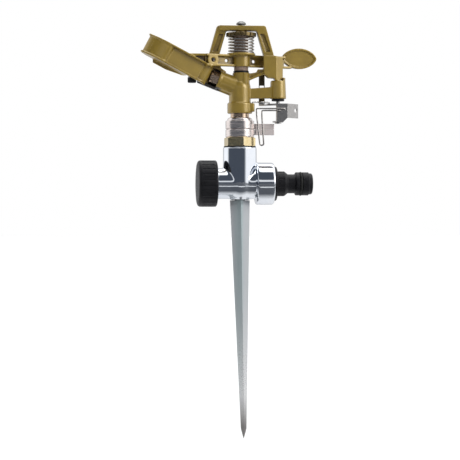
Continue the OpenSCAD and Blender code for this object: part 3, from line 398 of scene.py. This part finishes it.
# The body's bronze carries the painted shade on the tongue
BODY_BRONZE = bronze_paint("body_bronze", True)
CHROME = polished_chrome()
ZINC = dull_zinc()
NICKEL = nickel("nickel", 0.14, 0.26)
SATIN_NICKEL = nickel("satin_nickel", 0.18, 0.28, True)
BRASS = brass()
DULL_BRASS = plated_steel("dull_brass", (0.50, 0.375, 0.28), (0.62, 0.475, 0.36), (0.18, 0.28))
DARK_BRONZE = plated_steel("dark_bronze", (0.13, 0.095, 0.040), (0.21, 0.155, 0.075), (0.26, 0.38))
STEEL = plated_steel()
# The trip lever's finger is painted dark above a height, as painted shade
SHEET_STEEL = plated_steel("sheet_steel", (0.38, 0.37, 0.36), (0.45, 0.44, 0.43), (0.27, 0.31), FINGER_SHADE)
DARK_STEEL = plated_steel("dark_steel", (0.17, 0.17, 0.17), (0.26, 0.26, 0.25), (0.24, 0.34))
SPRING = plated_steel("spring_wire", (0.38, 0.36, 0.34), (0.56, 0.53, 0.50), (0.12, 0.22))
BLACK = moulded_black()
RUBBER = black_rubber()
WHITE = moulded("white_plastic", (0.72, 0.72, 0.69), (0.80, 0.80, 0.78))
BROWN = moulded("brown_plastic", (0.15, 0.10, 0.075), (0.22, 0.16, 0.12))

LOOK = {
    "spike": ZINC, "tee": CHROME, "end_cap_washer": RUBBER, "end_cap": BLACK, "hose_plug": BLACK,
    "plug_seal": RUBBER, "plug_o_ring": RUBBER, "hex_bushing": BRASS, "bushing_gasket": RUBBER,
    "bearing_sleeve": NICKEL, "bearing_spring": STEEL, "thrust_bush": DULL_BRASS,
    "upper_stop_collar": SATIN_NICKEL, "lower_stop_collar": SATIN_NICKEL, "inlet_stem": BRASS,
    "stem_seal": RUBBER, "stem_washer": WHITE,
    "sprinkler_body": BODY_BRONZE, "nozzle": DULL_BRASS, "jet_screw_pin": STEEL, "jet_screw_knob": BLACK,
    "pivot_pin": DARK_STEEL, "pivot_washer": BLACK, "spring_plate": DARK_BRONZE, "arm_spring": SPRING,
    "impact_arm": BRONZE, "arm_bush": BROWN, "trip_pin": STEEL, "trip_washer": BLACK,
    "trip_lever": SHEET_STEEL, "trip_snap_spring": STEEL, "trip_wire": SPRING,
}

# Width of the eased edges, in millimetres
EASED = {
    "spike": 0.5, "end_cap": 0.3, "hex_bushing": 0.25,
    "nozzle": 0.2, "jet_screw_knob": 0.2, "spring_plate": 0.15, "thrust_bush": 0.15,
    "bearing_sleeve": 0.2, "hose_plug": 0.15, "pivot_pin": 0.2,
}


# Meshes made from the frame's solids
def copy_of(node):
    """The piece's solid as a mesh of its own, with its corners joined and no stored shading."""
    mesh = frame["nodes"][node].data.copy()
    piece = bpy.data.objects.new(node + "_look", mesh)
    bpy.context.scene.collection.objects.link(piece)
    mesh.materials.clear()
    work = bmesh.new()
    work.from_mesh(mesh)
    bmesh.ops.remove_doubles(work, verts=work.verts, dist=0.002 * MM)
    work.to_mesh(mesh)
    work.free()
    for name in [a.name for a in mesh.attributes if a.name in ("custom_normal", "sharp_edge")]:
        mesh.attributes.remove(mesh.attributes[name])
    return piece


def settle(piece):
    """Turns the piece's modifiers into its mesh."""
    seen = bpy.context.evaluated_depsgraph_get()
    mesh = bpy.data.meshes.new_from_object(piece.evaluated_get(seen))
    piece.modifiers.clear()
    piece.data = mesh
    return piece


def dress(piece, node, body=None):
    piece.data.materials.clear()
    piece.data.materials.append(LOOK[node])
    if body is not False:
        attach(piece, body or body_of[node])
    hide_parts(node)
    return piece


def soften_near(piece, centre, inner, outer, rounds):
    """Rounds the corners of a dense mesh near a point, fading out from the inner to the outer radius."""
    group = piece.vertex_groups.new(name="near")
    for point in piece.data.vertices:
        away = (point.co - centre).length
        group.add([point.index], min(1.0, max(0.0, (outer - away) / (outer - inner))), "REPLACE")
    soften = piece.modifiers.new("soften_near", "SMOOTH")
    soften.factor = SOFTEN
    soften.iterations = rounds
    soften.vertex_group = "near"
    settle(piece)


def casting(node, voxel, rounds, finer=0, crossing=None):
    """A solid with the softened edges and filled corners of a casting."""
    piece = copy_of(node)
    grid = piece.modifiers.new("grid", "REMESH")
    grid.mode = "VOXEL"
    grid.voxel_size = voxel
    soften = piece.modifiers.new("soften", "SMOOTH")
    soften.factor = SOFTEN
    soften.iterations = rounds
    if crossing is not None:
        settle(piece)
        soften_near(piece, crossing, CROSSING_INNER, CROSSING_OUTER, CROSSING_ROUNDS)
    if finer:
        rounder = piece.modifiers.new("finer", "SUBSURF")
        rounder.levels = rounder.render_levels = finer
    settle(piece)
    piece.data.shade_smooth()
    return dress(piece, node)


def eased(node, width):
    """A solid with its sharp edges eased."""
    piece = copy_of(node)
    work = bmesh.new()
    work.from_mesh(piece.data)
    bmesh.ops.dissolve_limit(
        work, angle_limit=math.radians(FLAT_ANGLE), verts=work.verts, edges=work.edges)
    work.to_mesh(piece.data)
    work.free()
    piece.data.shade_smooth()
    ease = piece.modifiers.new("ease", "BEVEL")
    ease.width = width
    ease.segments = EASE_STEPS
    ease.limit_method = "ANGLE"
    ease.angle_limit = math.radians(EASE_ANGLE)
    ease.harden_normals = True
    settle(piece)
    return dress(piece, node)


def round_wire(node, body=None):
    """A swept wire with twice the sides."""
    piece = copy_of(node)
    work = bmesh.new()
    work.from_mesh(piece.data)
    bmesh.ops.join_triangles(
        work, faces=work.faces, angle_face_threshold=math.radians(WIRE_FACE_ANGLE),
        angle_shape_threshold=math.radians(WIRE_SHAPE_ANGLE))
    work.to_mesh(piece.data)
    work.free()
    finer = piece.modifiers.new("finer", "SUBSURF")
    finer.levels = finer.render_levels = 1
    settle(piece)
    piece.data.shade_smooth()
    return dress(piece, node, body)


for node, material in LOOK.items():
    materials = frame["nodes"][node].data.materials
    materials.clear()
    materials.append(material)

for node in ("sprinkler_body", "impact_arm"):
    casting(node, *CAST_GRID)
casting("tee", *TEE_GRID, 1, Vector((0.0, 0.0, CROSSING_Z)))
for node in ("upper_stop_collar", "lower_stop_collar", "trip_lever"):
    casting(node, *SHEET_GRID)
for node, width in EASED.items():
    eased(node, width * MM)

for node in ("trip_snap_spring", "trip_wire", "bearing_spring"):
    round_wire(node)

spring = round_wire("arm_spring", False)
low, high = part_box("arm_spring")
middle = (low + high) / 2
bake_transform(spring, "arm", "head", start=(middle.x, middle.y, low.z + SPRING_FOOT),
         end=(middle.x, middle.y, high.z - SPRING_TOP))


# Floor, lights and camera
def floor():
    low = cad_box[0].z
    mesh = bpy.data.meshes.new("floor")
    corners = [(x * FLOOR_SIDE, y * FLOOR_SIDE, low) for x, y in ((-1, -1), (1, -1), (1, 1), (-1, 1))]
    mesh.from_pydata(corners, [], [(0, 1, 2, 3)])
    piece = bpy.data.objects.new("floor", mesh)
    bpy.context.scene.collection.objects.link(piece)
    s = Shade("floor")
    tone = s.ramp(s.noise(3.0, 3.0), (0.3, (0.86, 0.86, 0.86)), (0.7, (0.9, 0.9, 0.9)))
    tone = s.mixed(s.mirrored_front(), tone, FLOOR_DARK)
    rough = s.span(s.noise(40.0), 0.6, 0.7)
    mesh.materials.append(s.finish(tone, rough, s.bump(s.noise(600.0), 0.03, 0.0001)))


def sky():
    """White where the camera looks, and a light room with a dark front for everything else."""
    world = bpy.data.worlds.new("studio")
    bpy.context.scene.world = world
    world.use_nodes = True
    tree = world.node_tree
    tree.nodes.clear()
    new, link = tree.nodes.new, tree.links.new

    def number(kind, *values):
        node = new("ShaderNodeMath")
        node.operation = kind
        for socket, value in zip(node.inputs, values):
            if isinstance(value, (int, float)):
                socket.default_value = value
            else:
                link(value, socket)
        return node.outputs[0]

    def smooth(value, low, high):
        node = new("ShaderNodeMapRange")
        node.interpolation_type = "SMOOTHSTEP"
        node.inputs["From Min"].default_value = low
        node.inputs["From Max"].default_value = high
        link(value, node.inputs["Value"])
        return node.outputs[0]

    def cosine(degrees):
        return math.cos(math.radians(degrees))

    def facing(azimuth):
        """How far a direction points to a place on the horizon."""
        turn = math.radians(azimuth)
        return number("ADD", number("MULTIPLY", x, math.cos(turn)), number("MULTIPLY", y, math.sin(turn)))

    place = new("ShaderNodeTexCoord").outputs["Generated"]
    parts = new("ShaderNodeSeparateXYZ")
    link(place, parts.inputs[0])
    x, y, z = parts.outputs

    # Dark before the part, up to a height; just over 1 keeps the root from zero at the pole
    flat = number("SQRT", number("SUBTRACT", 1.0001, number("MULTIPLY", z, z)))
    before = number("DIVIDE", facing(VIEW_AZIMUTH - 90.0 - DARK_LEFT), flat)
    dark = smooth(before, cosine(DARK_REACH + DARK_SOFT), cosine(DARK_REACH - DARK_SOFT))
    above = smooth(z, DARK_TOP - DARK_TOP_SOFT, DARK_TOP + DARK_TOP_SOFT)
    dark = number("MULTIPLY", dark, number("SUBTRACT", 1.0, above))

    # A light strip in it, and grey behind the part
    from_strip = number("ABSOLUTE", number("SUBTRACT", z, STRIP_LEVEL))
    level = number("SUBTRACT", 1.0, smooth(from_strip, *STRIP_HALF))
    dark = number("MULTIPLY", dark, number("SUBTRACT", 1.0, number("MULTIPLY", level, STRIP)))
    behind = smooth(facing(VIEW_AZIMUTH + 90.0), cosine(BACK_REACH), 1.0)
    dark = number("MAXIMUM", dark, number("MULTIPLY", behind, BACK_GREY))

    over = new("ShaderNodeMix")
    over.data_type = "RGBA"
    colours = [s for s in over.inputs if s.type == "RGBA"]
    colours[0].default_value = (ROOM, ROOM, ROOM * 1.01, 1.0)
    colours[1].default_value = (*DARK, 1.0)
    link(dark, over.inputs[0])
    room = new("ShaderNodeBackground")
    link([s for s in over.outputs if s.type == "RGBA"][0], room.inputs[0])
    white = new("ShaderNodeBackground")
    white.inputs[0].default_value = (1.0, 1.0, 1.0, 1.0)
    mix = new("ShaderNodeMixShader")
    link(new("ShaderNodeLightPath").outputs["Is Camera Ray"], mix.inputs[0])
    link(room.outputs[0], mix.inputs[1])
    link(white.outputs[0], mix.inputs[2])
    link(mix.outputs[0], new("ShaderNodeOutputWorld").inputs[0])


def sun(name, direction, strength, spread, shine):
    """Even light from far away; without shine it isn't mirrored by metals."""
    data = bpy.data.lights.new(name, "SUN")
    data.energy = strength
    data.angle = math.radians(spread)
    piece = bpy.data.objects.new(name, data)
    bpy.context.scene.collection.objects.link(piece)
    piece.rotation_euler = (-Vector(direction)).to_track_quat("-Z", "Y").to_euler()
    piece.visible_glossy = shine


def camera():
    data = bpy.data.cameras.new("camera")
    data.sensor_width = SENSOR
    data.lens = SENSOR * VIEW_DISTANCE / VIEW_HEIGHT
    piece = bpy.data.objects.new("camera", data)
    bpy.context.scene.collection.objects.link(piece)
    turn = math.radians(VIEW_AZIMUTH)
    right = Vector((math.cos(turn), math.sin(turn), 0.0))
    back = Vector((math.sin(turn), -math.cos(turn), 0.0))
    target = right * AIM_RIGHT + Vector((0.0, 0.0, AIM_UP))
    piece.location = target + back * VIEW_DISTANCE
    piece.rotation_euler = (-back).to_track_quat("-Z", "Y").to_euler()
    data.clip_start, data.clip_end = 0.05, 100.0
    bpy.context.scene.camera = piece


floor()
sky()
for light in SUNS:
    sun(*light)
camera()

scene = bpy.context.scene
scene.view_settings.view_transform = "Standard"
scene.view_settings.look = "None"
